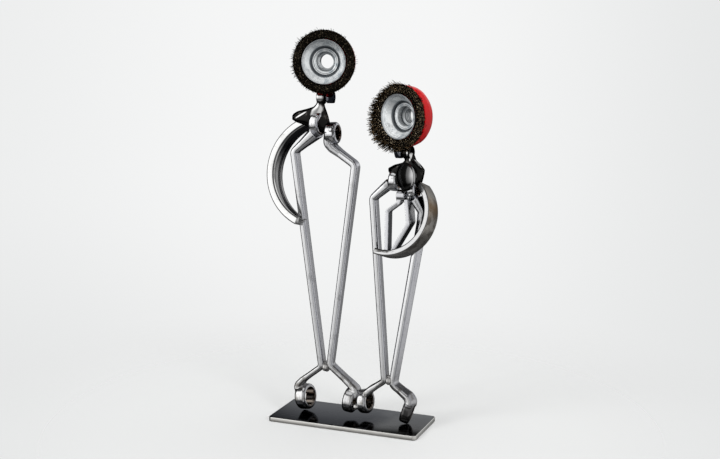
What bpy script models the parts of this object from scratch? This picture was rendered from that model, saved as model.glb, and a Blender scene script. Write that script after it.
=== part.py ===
"""Scrap metal sculpture: two figures welded from ring spanners, bearing races and wire cup brushes.

Metres, +Z up, +X from the tall figure to the small one, and the figures' front looks along -Y.
The origin is the centre of the base plate's underside.
"""

import math

import bmesh
import bpy
from mathutils import Matrix, Vector

GAP = 0.0003            # clearance that touching pieces keep
GUARD = 0.00036         # how much larger than its neighbour a clearance cutter is

# Base plate
PLATE_LENGTH = 0.170
PLATE_WIDTH = 0.070
PLATE_THICKNESS = 0.005
PLATE_CORNER = 0.0045
PLATE_EDGE = 0.0005
FOOT_LEVEL = PLATE_THICKNESS + GAP

# Ring spanners: the bar is thin sideways and deep from front to back
BAR_HALF_THICKNESS = 0.0036
BAR_HALF_DEPTH = 0.0064
BAR_TAPER = (0.92, 1.07)  # size at the foot end and at the chest end
BAR_ROUNDNESS = 8.0     # superellipse power of the forged section
BAR_SIDES = 8
BEND_RADIUS = 0.0060
BEND_STEPS = 3
NECK_LENGTH = 0.026     # length over which a bar swells where it meets a ring
RING_SEGMENTS = 18
RING_CHAMFER = 0.0016
RING_POINTS = 12

# Each spanner: (x, y, z) of its bar's bends from foot to chest, the turn of its section about the
# upright, how much it swells at the foot and at the chest, then the two rings. A ring's axis runs
# sideways, turned by the yaw and lifted by the tilt; a ring without a height stands on the plate
SPANNERS = {
    "tall_left_spanner": {
        "path": ((-0.0610, 0.0040, 0.0220), (-0.0652, 0.0037, 0.0325), (-0.0582, 0.0025, 0.0403),
                 (-0.0348, 0.0, 0.0585), (-0.0654, 0.0, 0.2932), (-0.0402, 0.0, 0.3139)),
        "turn": 0.0, "swell": (0.42, 0.75),
        "foot": {"centre": (-0.0572, 0.0040, None), "radius": 0.0142, "half_width": 0.0066,
                 "bore": 0.0098, "tilt": 9.0, "yaw": -8.0},
        "chest": {"centre": (-0.0375, 0.0, 0.3240), "radius": 0.0130, "half_width": 0.0058,
                  "bore": 0.0088, "tilt": -5.0, "yaw": -12.0},
    },
    "tall_right_spanner": {
        "path": ((0.0022, 0.0, 0.0250), (0.0058, 0.0, 0.0355), (-0.0010, 0.0, 0.0420),
                 (-0.0250, 0.0, 0.0612), (0.0048, 0.0, 0.2812), (-0.0205, 0.0, 0.2980),
                 (-0.0248, 0.0, 0.3035), (-0.0235, 0.0, 0.3120)),
        "turn": 0.0, "swell": (0.42, 0.50),
        "foot": {"centre": (-0.0012, 0.0, 0.0240), "radius": 0.0138, "half_width": 0.0060,
                 "bore": 0.0090, "tilt": -8.0, "yaw": 0.0},
        "chest": {"centre": (-0.0214, 0.0, 0.3140), "radius": 0.0117, "half_width": 0.0062,
                  "bore": 0.0076, "tilt": 4.0, "yaw": 0.0},
    },
    "small_left_spanner": {
        "path": ((0.0140, 0.0030, 0.0240), (0.0150, 0.0030, 0.0315), (0.0220, 0.0020, 0.0382),
                 (0.0386, 0.0, 0.0505), (0.0251, 0.0, 0.2478), (0.0445, 0.0, 0.2645)),
        "turn": 0.0, "swell": (0.42, 0.42),
        "foot": {"centre": (0.0146, 0.0030, 0.0234), "radius": 0.0132, "half_width": 0.0054,
                 "bore": 0.0082, "tilt": 6.0, "yaw": -8.0},
        "chest": {"centre": (0.0485, 0.0, 0.2672), "radius": 0.0112, "half_width": 0.0050,
                  "bore": 0.0070, "tilt": -4.0, "yaw": 0.0},
    },
    "small_right_spanner": {
        "path": ((0.0650, 0.0, 0.0215), (0.0684, 0.0, 0.0300), (0.0652, 0.0, 0.0355),
                 (0.0478, 0.0, 0.0478), (0.0808, 0.0, 0.2370), (0.0735, 0.0, 0.2500)),
        "turn": -16.0, "swell": (0.42, 0.42),
        "foot": {"centre": (0.0640, 0.0, None), "radius": 0.0128, "half_width": 0.0056,
                 "bore": 0.0080, "tilt": -18.0, "yaw": 8.0},
        "chest": {"centre": (0.0690, 0.0, 0.2590), "radius": 0.0110, "half_width": 0.0050,
                  "bore": 0.0068, "tilt": 8.0, "yaw": 0.0},
    },
}

# Arms: a segment of a ball bearing's outer race. The centre lies on the race's front face, the
# facing angle turns that face towards +X, the tilt looks up, and the angles run from +X over +Z
RACES = {
    "tall_arm_race": {"centre": (-0.0304, -0.0130, 0.2743), "radius": 0.0620, "wall": 0.0080,
                      "width": 0.0260, "facing": 1.5, "tilt": 13.3, "start": 99.0, "end": 247.0},
    "small_arm_race": {"centre": (0.0470, -0.0150, 0.2363), "radius": 0.0459, "wall": 0.0063,
                       "width": 0.0233, "facing": -7.0, "tilt": 17.5, "start": -104.5, "end": 47.0},
}
RACE_STEPS = 16
RACE_LAND = 0.22        # share of the width that each shoulder beside the groove takes
RACE_GROOVE = 0.45      # groove depth as a share of the wall
RACE_CHAMFER = 0.0008

# Shoulder yokes: widths to the left and right of the neck and half depth, at heights below the boss
YOKE_LEVELS = {
    "tall": (
        (-0.0020, 0.0040, 0.0030, 0.0046),
        (-0.0068, 0.0054, 0.0026, 0.0050),
        (-0.0100, 0.0086, 0.0034, 0.0056),
        (-0.0125, 0.0173, 0.0044, 0.0062),
        (-0.0150, 0.0262, 0.0054, 0.0068),
        (-0.0198, 0.0321, 0.0070, 0.0076),
        (-0.0240, 0.0322, 0.0080, 0.0078),
        (-0.0272, 0.0262, 0.0088, 0.0074),
        (-0.0310, 0.0150, 0.0094, 0.0066),
        (-0.0345, 0.0080, 0.0080, 0.0050),
    ),
    "small": (
        (-0.0020, 0.0034, 0.0060, 0.0046),
        (-0.0080, 0.0036, 0.0084, 0.0052),
        (-0.0106, 0.0060, 0.0116, 0.0060),
        (-0.0134, 0.0158, 0.0148, 0.0068),
        (-0.0172, 0.0226, 0.0180, 0.0076),
        (-0.0212, 0.0222, 0.0176, 0.0078),
        (-0.0262, 0.0160, 0.0164, 0.0074),
        (-0.0305, 0.0104, 0.0152, 0.0066),
        (-0.0345, 0.0070, 0.0104, 0.0050),
    ),
}
YOKE_SIDES = 16
YOKE_ROUNDNESS = 2.4
BOSS_RADIUS = 0.0072
BOSS_HALF_LENGTH = 0.0045
SCREW_RADIUS = 0.0040
NUT_ACROSS_FLATS = 0.0124
NUT_LENGTH = 0.0072

# Per figure: boss centre of the neck, the side its screw points to, head centre, the facing angle of
# the head and the yoke's turn
FIGURES = {
    "tall": {"neck": (-0.0340, 0.0, 0.3515), "screw_side": 1, "head": (-0.0253, -0.0151, 0.3885),
             "facing": 13.5, "yaw": 8.0},
    "small": {"neck": (0.0632, 0.0, 0.2968), "screw_side": -1, "head": (0.0552, -0.0140, 0.3340),
              "facing": -23.0, "yaw": -6.0},
}

# Wire cup brush, (radius, depth behind the wire tips)
HEAD_SEGMENTS = 24
CUP_OUTSIDE = ((0.0309, 0.0070), (0.0298, 0.0178), (0.0258, 0.0232), (0.0116, 0.0246))
CUP_WALL = 0.0012
WIRE_PROFILE = ((0.0241, 0.0006), (0.0285, 0.0), (0.0326, 0.0006), (0.0325, 0.0035), (0.0315, 0.0064),
                (0.0291, 0.0064), (0.0279, 0.0172), (0.0239, 0.0182))
INNER_CUP_FACE = ((0.0225, 0.0020), (0.0212, 0.0050), (0.0168, 0.0105), (0.0160, 0.0140), (0.0115, 0.0148))
INNER_CUP_WALL = 0.0010
HUB_OUTSIDE = ((0.0136, 0.0117), (0.0136, 0.0138), (0.0111, 0.0138), (0.0111, 0.0290))
HUB_BORE = ((0.0122, 0.0110), (0.0104, 0.0126), (0.0098, 0.0186), (0.0074, 0.0196), (0.0074, 0.0310))
HUB_SEGMENTS = 20
HUB_HEX_ACROSS = 0.0238
HUB_HEX_DEPTHS = (0.0249, 0.0296)

# Chest button: a domed round head on a short stem
BUTTON_CENTRE = (0.0655, -0.0185, 0.2738)
BUTTON_FACING = -32.0
BUTTON_PROFILE = ((0.0072, 0.0028), (0.0120, 0.0019), (0.0146, 0.0), (0.0146, -0.0022),
                  (0.0128, -0.0034), (0.0052, -0.0034), (0.0048, -0.0120))

# Bars inside the small torso: bends from top to bottom, half thickness and half depth
INNER_BARS = {
    "small_inner_left_bar": {"bends": ((0.0575, -0.0050, 0.2500), (0.0560, -0.0055, 0.2448),
                                       (0.0448, -0.0080, 0.2362), (0.0471, -0.0165, 0.1925)),
                             "half_thickness": 0.0021, "half_depth": 0.0058},
    "small_inner_right_bar": {"bends": ((0.0660, -0.0060, 0.2500), (0.0698, -0.0100, 0.2250),
                                        (0.0522, -0.0172, 0.1925)),
                              "half_thickness": 0.0021, "half_depth": 0.0095},
}
BAR_END = {"centre": (0.0581, -0.0050, 0.2520), "radius": 0.0066, "half_width": 0.0046, "bore": 0.0036,
           "tilt": 0.0, "yaw": 0.0}

# Weld lumps: centre and half sizes
WELDS = {
    "tall_ankle_weld": {"centre": (-0.0297, -0.0010, 0.0590), "half_sizes": (0.0056, 0.0082, 0.0062)},
    "small_ankle_weld": {"centre": (0.0438, -0.0010, 0.0515), "half_sizes": (0.0062, 0.0082, 0.0058)},
    "feet_weld": {"centre": (0.0078, -0.0060, 0.0195), "half_sizes": (0.0062, 0.0058, 0.0040)},
}

FINISHES = {
    "plate_steel": ((0.055, 0.058, 0.062), 0.22, 0.9),
    "ground_steel": ((0.62, 0.62, 0.63), 0.24, 1.0),
    "race_steel": ((0.66, 0.66, 0.66), 0.18, 1.0),
    "dark_forging": ((0.035, 0.034, 0.034), 0.22, 0.9),
    "dark_nut": ((0.05, 0.055, 0.065), 0.35, 0.9),
    "red_paint": ((0.55, 0.012, 0.015), 0.25, 0.0),
    "wire": ((0.055, 0.040, 0.028), 0.45, 0.8),
    "zinc": ((0.60, 0.66, 0.70), 0.28, 1.0),
    "weld_metal": ((0.40, 0.39, 0.38), 0.42, 1.0),
}


def finish(name):
    material = bpy.data.materials.get(name)
    if material is None:
        colour, roughness, metallic = FINISHES[name]
        material = bpy.data.materials.new(name)
        material.use_nodes = True
        shader = material.node_tree.nodes["Principled BSDF"]
        shader.inputs["Base Color"].default_value = (*colour, 1.0)
        shader.inputs["Roughness"].default_value = roughness
        shader.inputs["Metallic"].default_value = metallic
    return material


def add_object(name, bm, finish_name, sharp_angle=34.0):
    bmesh.ops.recalc_face_normals(bm, faces=bm.faces)
    mesh = bpy.data.meshes.new(name)
    bm.to_mesh(mesh)
    bm.free()
    mesh.materials.append(finish(finish_name))
    mesh.shade_smooth()
    mesh.set_sharp_from_angle(angle=math.radians(sharp_angle))
    obj = bpy.data.objects.new(name, mesh)
    bpy.context.scene.collection.objects.link(obj)
    return obj


def loft(rings, closed=False):
    """Skin a row of point rings; closed joins the last ring to the first, else the ends are capped."""
    bm = bmesh.new()
    rows = [[bm.verts.new(point) for point in ring] for ring in rings]
    count = len(rows[0])
    pairs = list(zip(rows, rows[1:]))
    if closed:
        pairs.append((rows[-1], rows[0]))
    for low, high in pairs:
        for i in range(count):
            j = (i + 1) % count
            bm.faces.new((low[i], low[j], high[j], high[i]))
    if not closed:
        bm.faces.new(reversed(rows[0]))
        bm.faces.new(rows[-1])
    return bm


def frame_at(origin, axis, side=Vector((0.0, 0.0, 1.0))):
    """Matrix whose local +Z is the axis and whose local +X lies towards the side."""
    z = Vector(axis).normalized()
    x = side - z * side.dot(z)
    x.normalize()
    y = z.cross(x)
    turn = Matrix((x, y, z)).transposed().to_4x4()
    return Matrix.Translation(Vector(origin)) @ turn


def circle(radius, height, segments, matrix):
    points = []
    for i in range(segments):
        angle = 2.0 * math.pi * i / segments
        points.append(matrix @ Vector((radius * math.cos(angle), radius * math.sin(angle), height)))
    return points


def turned_solid(profile, segments, matrix):
    """Solid of revolution from (radius, height) rows, flat at both ends."""
    return loft([circle(radius, height, segments, matrix) for radius, height in profile])


def turned_ring(profile, segments, matrix):
    """Annular body from a closed loop of (radius, height) points."""
    rings = [circle(radius, height, segments, matrix) for radius, height in profile]
    return loft(rings, closed=True)


def superellipse(half_a, half_b, power, sides):
    points = []
    for i in range(sides):
        angle = 2.0 * math.pi * (i + 0.5) / sides
        c = math.cos(angle)
        s = math.sin(angle)
        a = half_a * math.copysign(abs(c) ** (2.0 / power), c)
        b = half_b * math.copysign(abs(s) ** (2.0 / power), s)
        points.append((a, b))
    return points


def rounded_path(points, radius, steps):
    """Straight runs through the points with an arc at every inner one."""
    path = [points[0]]
    for before, corner, after in zip(points, points[1:], points[2:]):
        back = (before - corner).normalized()
        ahead = (after - corner).normalized()
        half_turn = (math.pi - back.angle(ahead)) / 2.0
        reach = min(radius * math.tan(half_turn), 0.45 * (before - corner).length,
                    0.45 * (after - corner).length)
        start = corner + back * reach
        end = corner + ahead * reach
        for i in range(steps + 1):
            t = i / steps
            path.append(start.lerp(corner, t).lerp(corner.lerp(end, t), t))
    path.append(points[-1])
    return path


def swept_bar(path, half_thickness, half_depth, taper=(1.0, 1.0), swell=(0.0, 0.0), turn=0.0):
    """Forged bar along a path, its depth kept near the turned Y axis, tapered and swollen at both ends."""
    back = heading(turn + 90.0)
    lengths = [0.0]
    for a, b in zip(path, path[1:]):
        lengths.append(lengths[-1] + (b - a).length)
    rings = []
    for i, point in enumerate(path):
        ahead = path[min(i + 1, len(path) - 1)] - point
        behind = point - path[max(i - 1, 0)]
        tangent = (ahead.normalized() + behind.normalized()).normalized()
        depth = (back - tangent * back.dot(tangent)).normalized()
        across = depth.cross(tangent)
        size = taper[0] + (taper[1] - taper[0]) * lengths[i] / lengths[-1]
        size += swell[0] * max(0.0, 1.0 - lengths[i] / NECK_LENGTH)
        size += swell[1] * max(0.0, 1.0 - (lengths[-1] - lengths[i]) / NECK_LENGTH)
        section = superellipse(half_thickness * size, half_depth * size, BAR_ROUNDNESS, BAR_SIDES)
        rings.append([point + across * a + depth * b for a, b in section])
    return loft(rings)


def settle(obj):
    """Turn the object's modifiers into its mesh."""
    graph = bpy.context.evaluated_depsgraph_get()
    mesh = bpy.data.meshes.new_from_object(obj.evaluated_get(graph))
    obj.modifiers.clear()
    obj.data = mesh
    mesh.set_sharp_from_angle(angle=math.radians(34.0))


def combine(obj, tools, operation):
    """Boolean the tools into the object and take the tools away."""
    for tool in tools:
        modifier = obj.modifiers.new(operation.lower(), "BOOLEAN")
        modifier.operation = operation
        modifier.object = tool
    settle(obj)
    for tool in tools:
        bpy.data.objects.remove(tool)


def heading(yaw, tilt=0.0):
    """Unit vector along +X turned by yaw about Z towards +Y, then lifted by the tilt, in degrees."""
    yaw = math.radians(yaw)
    tilt = math.radians(tilt)
    return Vector((math.cos(yaw) * math.cos(tilt), math.sin(yaw) * math.cos(tilt), math.sin(tilt)))


def front_heading(facing, tilt=0.0):
    """Unit vector along -Y turned by the facing angle towards +X, then lifted by the tilt."""
    facing = math.radians(facing)
    tilt = math.radians(tilt)
    return Vector((math.sin(facing) * math.cos(tilt), -math.cos(facing) * math.cos(tilt), math.sin(tilt)))


def base_plate():
    bm = bmesh.new()
    bmesh.ops.create_cube(bm, size=1.0)
    for vertex in bm.verts:
        vertex.co.x *= PLATE_LENGTH
        vertex.co.y *= PLATE_WIDTH
        vertex.co.z = (vertex.co.z + 0.5) * PLATE_THICKNESS
    upright = [edge for edge in bm.edges
               if abs(edge.verts[0].co.z - edge.verts[1].co.z) > 0.5 * PLATE_THICKNESS]
    bmesh.ops.bevel(bm, geom=upright, offset=PLATE_CORNER, segments=4, profile=0.5, affect="EDGES")
    rim = [edge for edge in bm.edges if len(edge.link_faces) == 2
           and edge.calc_face_angle() > math.radians(60.0)
           and abs(edge.verts[0].co.z - edge.verts[1].co.z) < PLATE_EDGE]
    bmesh.ops.bevel(bm, geom=rim, offset=PLATE_EDGE, segments=1, profile=0.5, affect="EDGES")
    return add_object("base_plate", bm, "plate_steel")


def ring_frame(ring):
    x, y, z = ring["centre"]
    if z is None:
        tilt = math.radians(abs(ring["tilt"]))
        rim = ring["half_width"] - RING_CHAMFER
        z = FOOT_LEVEL + ring["radius"] * math.cos(tilt) + rim * math.sin(tilt)
    return frame_at((x, y, z), heading(ring["yaw"], ring["tilt"]))


def ring_body(name, ring, grow=0.0):
    radius = ring["radius"] + grow
    half = ring["half_width"] + grow
    profile = ((radius - RING_CHAMFER, -half), (radius, -half + RING_CHAMFER),
               (radius, half - RING_CHAMFER), (radius - RING_CHAMFER, half))
    return add_object(name, turned_solid(profile, RING_SEGMENTS, ring_frame(ring)), "ground_steel")


def ring_bore(name, ring):
    """The clearance through a ring's twelve points."""
    reach = ring["half_width"] + 0.0025
    profile = ((ring["bore"], -reach), (ring["bore"], reach))
    return add_object(name, turned_solid(profile, RING_POINTS, ring_frame(ring)), "ground_steel")


def spanner_solids(name, row, grow=0.0):
    """The bar and the two plain rings that make up a spanner, grown for use as clearance cutters."""
    points = [Vector(point) for point in row["path"]]
    points[0] += (points[0] - points[1]).normalized() * grow
    points[-1] += (points[-1] - points[-2]).normalized() * grow
    path = rounded_path(points, BEND_RADIUS, BEND_STEPS)
    bar = swept_bar(path, BAR_HALF_THICKNESS + grow, BAR_HALF_DEPTH + grow, BAR_TAPER, row["swell"],
                    row["turn"])
    return [add_object(name, bar, "ground_steel"), ring_body(name + "_foot", row["foot"], grow),
            ring_body(name + "_chest", row["chest"], grow)]


def spanner(name, row):
    piece, foot, chest = spanner_solids(name, row)
    combine(piece, [foot, chest], "UNION")
    combine(piece, [ring_bore(name + "_foot", row["foot"]), ring_bore(name + "_chest", row["chest"])],
            "DIFFERENCE")
    return piece


def race_profile(row):
    """Closed loop of (radius, depth behind the front face) with a ball groove inside."""
    radius = row["radius"]
    inner = radius - row["wall"]
    width = row["width"]
    land = RACE_LAND * width
    chamfer = RACE_CHAMFER
    loop = [(inner + chamfer, 0.0), (radius - chamfer, 0.0), (radius, chamfer),
            (radius, width - chamfer), (radius - chamfer, width), (inner + chamfer, width),
            (inner, width - chamfer)]
    steps = 4
    for i in range(steps + 1):
        t = i / steps
        depth = width - land - t * (width - 2.0 * land)
        loop.append((inner + RACE_GROOVE * row["wall"] * math.sin(math.pi * t) ** 0.7, depth))
    loop.append((inner, chamfer))
    return loop


def arm_race(name, row, grow=0.0):
    """The race segment itself, or with a growth the plain block that clears it."""
    face = front_heading(row["facing"], row["tilt"])
    matrix = frame_at(row["centre"], face, heading(row["facing"]))
    profile = race_profile(row)
    if grow > 0.0:
        inner = row["radius"] - row["wall"] - grow
        outer = row["radius"] + grow
        back = row["width"] + grow
        profile = ((inner, -grow), (outer, -grow), (outer, back), (inner, back))
    past = math.degrees(grow / row["radius"])
    start = row["start"] - past
    end = row["end"] + past
    rings = []
    for i in range(RACE_STEPS + 1):
        angle = math.radians(start + (end - start) * i / RACE_STEPS)
        rings.append([matrix @ Vector((radius * math.cos(angle), radius * math.sin(angle), -depth))
                      for radius, depth in profile])
    return add_object(name, loft(rings), "race_steel")


def shoulder_yoke(figure, row):
    turn = Matrix.Translation(Vector(row["neck"])) @ Matrix.Rotation(math.radians(row["yaw"]), 4, "Z")
    rings = []
    for height, left, right, half_depth in YOKE_LEVELS[figure]:
        section = superellipse(1.0, half_depth, YOKE_ROUNDNESS, YOKE_SIDES)
        rings.append([turn @ Vector((a * (right if a > 0.0 else left), b, height)) for a, b in section])
    yoke = add_object(figure + "_shoulder_yoke", loft(rings), "dark_forging", 60.0)
    matrix = frame_at(row["neck"], turn.to_3x3() @ Vector((1.0, 0.0, 0.0)))
    chamfer = 0.0008
    profile = ((BOSS_RADIUS - chamfer, -BOSS_HALF_LENGTH), (BOSS_RADIUS, chamfer - BOSS_HALF_LENGTH),
               (BOSS_RADIUS, BOSS_HALF_LENGTH - chamfer), (BOSS_RADIUS - chamfer, BOSS_HALF_LENGTH))
    boss = add_object(figure + "_boss", turned_solid(profile, 20, matrix), "dark_forging")
    combine(yoke, [boss], "UNION")
    return yoke


def neck_screw_and_nut(figure, row):
    turn = Matrix.Rotation(math.radians(row["yaw"]), 4, "Z")
    axis = turn.to_3x3() @ Vector((float(row["screw_side"]), 0.0, 0.0))
    matrix = frame_at(row["neck"], axis)
    start = BOSS_HALF_LENGTH + GAP
    nut_start = start + 0.0016
    nut_end = nut_start + NUT_LENGTH
    profile = ((SCREW_RADIUS, start), (SCREW_RADIUS, nut_end + 0.0006),
               (SCREW_RADIUS - 0.001, nut_end + 0.0014))
    add_object(figure + "_neck_screw", turned_solid(profile, 16, matrix), "dark_nut")
    corner = NUT_ACROSS_FLATS / math.sqrt(3.0)
    matrix_turned = matrix @ Matrix.Rotation(math.radians(30.0), 4, "Z")
    nut = add_object(figure + "_neck_nut", loft([circle(corner, nut_start, 6, matrix_turned),
                                                 circle(corner, nut_end, 6, matrix_turned)]), "dark_nut")
    profile = ((SCREW_RADIUS + GAP, nut_start - 0.002), (SCREW_RADIUS + GAP, nut_end + 0.002))
    combine(nut, [add_object("hole", turned_solid(profile, 16, matrix), "dark_nut")], "DIFFERENCE")


def shell_loop(face, wall, outwards=False):
    """Closed loop of a pressed sheet: the given face and the same face set off by the wall."""
    points = [Vector(point) for point in face]
    offsets = []
    for i, point in enumerate(points):
        along = points[min(i + 1, len(points) - 1)] - points[max(i - 1, 0)]
        normal = Vector((-along.y, along.x)).normalized()
        if outwards:
            normal.negate()
        offsets.append(point + normal * wall)
    return [tuple(point) for point in points] + [tuple(point) for point in reversed(offsets)]


def brush_head(figure, row):
    matrix = frame_at(row["head"], front_heading(row["facing"]))

    def turned(name, loop, finish_name):
        profile = [(radius, -depth) for radius, depth in loop]
        add_object(figure + name, turned_ring(profile, HEAD_SEGMENTS, matrix), finish_name)

    turned("_head_cup", shell_loop(CUP_OUTSIDE, CUP_WALL), "red_paint")
    turned("_head_wires", WIRE_PROFILE, "wire")
    turned("_head_inner_cup", shell_loop(INNER_CUP_FACE, INNER_CUP_WALL, True), "zinc")
    hub = turned_solid([(radius, -depth) for radius, depth in HUB_OUTSIDE], HUB_SEGMENTS, matrix)
    hub = add_object(figure + "_head_arbor_nut", hub, "zinc")
    corner = HUB_HEX_ACROSS / math.sqrt(3.0)
    front, back = HUB_HEX_DEPTHS
    hexagon = loft([circle(corner, -back, 6, matrix), circle(corner, -front, 6, matrix)])
    bore = turned_solid([(radius, -depth) for radius, depth in HUB_BORE], HUB_SEGMENTS, matrix)
    combine(hub, [add_object("hexagon", hexagon, "zinc")], "UNION")
    combine(hub, [add_object("bore", bore, "zinc")], "DIFFERENCE")


def head_guards(row):
    """Solids a little larger than the cup and the wire crown."""
    matrix = frame_at(row["head"], front_heading(row["facing"]))
    guards = []
    for outline in (CUP_OUTSIDE, WIRE_PROFILE[2:5]):
        profile = [(radius + GUARD, -depth) for radius, depth in outline]
        profile.insert(0, (profile[0][0], profile[0][1] + GUARD))
        profile.append((profile[-1][0], profile[-1][1] - GUARD))
        guards.append(add_object("guard", turned_solid(profile, HEAD_SEGMENTS, matrix), "wire"))
    return guards


def chest_button(name, grow=0.0):
    matrix = frame_at(BUTTON_CENTRE, front_heading(BUTTON_FACING))
    profile = [(radius + grow, height) for radius, height in BUTTON_PROFILE]
    profile[0] = (profile[0][0], profile[0][1] + grow)
    profile[-1] = (profile[-1][0], profile[-1][1] - grow)
    return add_object(name, turned_solid(profile, 20, matrix), "dark_forging")


def inner_bar(name, row, grow=0.0):
    path = rounded_path([Vector(point) for point in row["bends"]], 0.004, 3)
    bar = swept_bar(path, row["half_thickness"] + grow, row["half_depth"] + grow)
    return add_object(name, bar, "ground_steel")


def weld_lump(name, row):
    bm = bmesh.new()
    bmesh.ops.create_uvsphere(bm, u_segments=10, v_segments=6, radius=1.0)
    for vertex in bm.verts:
        co = vertex.co
        ripple = 1.0 + 0.07 * math.sin(5.0 * co.x + 2.0) * math.cos(4.0 * co.z)
        vertex.co = Vector(row["centre"]) + Vector([axis * size * ripple
                                                    for axis, size in zip(co, row["half_sizes"])])
    return add_object(name, bm, "weld_metal", 60.0)


def clear_of_spanners(obj, *names):
    """Cut the object back to a thin gap from the named spanners."""
    for name in names:
        combine(obj, spanner_solids("guard", SPANNERS[name], GUARD), "DIFFERENCE")


def clear_of_race(obj, name):
    combine(obj, [arm_race("guard", RACES[name], GUARD)], "DIFFERENCE")


def main():
    for old in list(bpy.data.objects):
        bpy.data.objects.remove(old)
    base_plate()
    pieces = {name: spanner(name, row) for name, row in SPANNERS.items()}
    for name, row in RACES.items():
        pieces[name] = arm_race(name, row)
    for figure, row in FIGURES.items():
        pieces[figure + "_yoke"] = shoulder_yoke(figure, row)
        neck_screw_and_nut(figure, row)
        brush_head(figure, row)
        combine(pieces[figure + "_yoke"], head_guards(row), "DIFFERENCE")
    button = chest_button("small_chest_button")
    for name, row in INNER_BARS.items():
        pieces[name] = inner_bar(name, row)
    left_bar = pieces["small_inner_left_bar"]
    combine(left_bar, [ring_body("bar_ring", BAR_END)], "UNION")
    combine(left_bar, [ring_bore("bar_bore", BAR_END)], "DIFFERENCE")
    for name, row in WELDS.items():
        pieces[name] = weld_lump(name, row)

    clear_of_spanners(pieces["tall_right_spanner"], "small_left_spanner")
    clear_of_spanners(pieces["tall_arm_race"], "tall_left_spanner")
    clear_of_spanners(pieces["small_arm_race"], "small_left_spanner", "small_right_spanner")
    clear_of_spanners(pieces["tall_yoke"], "tall_left_spanner", "tall_right_spanner")
    clear_of_race(pieces["tall_yoke"], "tall_arm_race")
    clear_of_spanners(button, "small_left_spanner", "small_right_spanner")
    clear_of_spanners(pieces["small_yoke"], "small_left_spanner", "small_right_spanner")
    clear_of_race(pieces["small_yoke"], "small_arm_race")
    combine(pieces["small_yoke"], [chest_button("guard", GUARD)], "DIFFERENCE")
    for name in INNER_BARS:
        clear_of_spanners(pieces[name], "small_left_spanner", "small_right_spanner")
        clear_of_race(pieces[name], "small_arm_race")
        combine(pieces[name], [chest_button("guard", GUARD)], "DIFFERENCE")
    left_guards = [inner_bar("guard", INNER_BARS["small_inner_left_bar"], GUARD),
                   ring_body("guard", BAR_END, GUARD)]
    combine(pieces["small_inner_right_bar"], left_guards, "DIFFERENCE")
    clear_of_spanners(pieces["tall_ankle_weld"], "tall_left_spanner", "tall_right_spanner")
    clear_of_spanners(pieces["small_ankle_weld"], "small_left_spanner", "small_right_spanner")
    clear_of_spanners(pieces["feet_weld"], "tall_right_spanner", "small_left_spanner")


main()
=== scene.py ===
from math import atan2, ceil, cos, degrees, hypot, pi, radians, sin, sqrt, tan
import random

import bmesh
import bpy
from mathutils import Matrix, Vector


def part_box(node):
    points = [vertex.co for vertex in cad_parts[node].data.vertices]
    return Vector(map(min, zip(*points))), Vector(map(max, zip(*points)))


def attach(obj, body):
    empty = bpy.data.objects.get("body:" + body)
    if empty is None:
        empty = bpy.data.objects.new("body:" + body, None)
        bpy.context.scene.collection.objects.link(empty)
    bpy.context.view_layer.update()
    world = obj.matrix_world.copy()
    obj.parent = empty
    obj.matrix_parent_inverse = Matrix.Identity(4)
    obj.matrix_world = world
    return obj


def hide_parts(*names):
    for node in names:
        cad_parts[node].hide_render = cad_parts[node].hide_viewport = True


# Two figures welded from ring spanners, bearing races and cup brushes on a steel plate.
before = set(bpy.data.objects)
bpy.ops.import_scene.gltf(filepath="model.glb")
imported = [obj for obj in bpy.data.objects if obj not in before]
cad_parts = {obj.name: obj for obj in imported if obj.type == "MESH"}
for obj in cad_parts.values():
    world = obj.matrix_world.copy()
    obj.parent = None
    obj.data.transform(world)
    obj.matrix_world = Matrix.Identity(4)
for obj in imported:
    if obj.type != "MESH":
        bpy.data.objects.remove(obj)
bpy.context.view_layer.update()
print("frame:", len(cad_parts), "CAD nodes")

roundSteps = 96   # stops in a full turn of the turned pieces
nearly = 1e-6   # two lengths this close count as equal


def only(*objs):
    bpy.ops.object.select_all(action="DESELECT")
    for obj in objs:
        obj.select_set(True)
    bpy.context.view_layer.objects.active = objs[0]


def selectAll():
    bpy.ops.mesh.select_all(action="SELECT")


def startEdit(obj, kind=None):   # with a kind given, all of the piece is selected
    only(obj)
    bpy.ops.object.mode_set(mode="EDIT")
    if kind:
        bpy.ops.mesh.select_mode(type=kind)
        selectAll()


def endEdit(outwards=False):   # outwards turns every face to the outside first
    if outwards:
        selectAll()
        bpy.ops.mesh.normals_make_consistent(inside=False)
    bpy.ops.object.mode_set(mode="OBJECT")


def pick(obj, kind, test):   # kind is VERT, EDGE or FACE
    bpy.ops.mesh.select_mode(type=kind)
    bpy.ops.mesh.select_all(action="DESELECT")
    mesh = bmesh.from_edit_mesh(obj.data)
    for part in {"VERT": mesh.verts, "EDGE": mesh.edges, "FACE": mesh.faces}[kind]:
        if test(part):
            part.select_set(True)
    mesh.select_flush_mode()
    bmesh.update_edit_mesh(obj.data)


def rise(edge):   # how much higher one end of an edge is
    return abs(edge.verts[0].co.z - edge.verts[1].co.z)


def extrude(shift):
    bpy.ops.mesh.extrude_region_move(TRANSFORM_OT_translate={"value": shift})


def resize(scale, about=(0, 0, 0)):
    bpy.ops.transform.resize(value=scale, center_override=about)


def rotate(angle, axis, about=(0, 0, 0)):
    bpy.ops.transform.rotate(value=angle, orient_axis=axis, center_override=about)


def newest(name):
    obj = bpy.context.active_object
    obj.name = name
    obj.data.name = name
    return obj


def place(obj, matrix):
    only(obj)
    obj.matrix_world = matrix
    bpy.ops.object.transform_apply(location=True, rotation=True, scale=True)
    return obj


def applied(obj, kind, **settings):
    only(obj)
    modifier = obj.modifiers.new(kind.lower(), kind)
    for key, value in settings.items():
        setattr(modifier, key, value)
    bpy.ops.object.modifier_apply(modifier=modifier.name)


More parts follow.
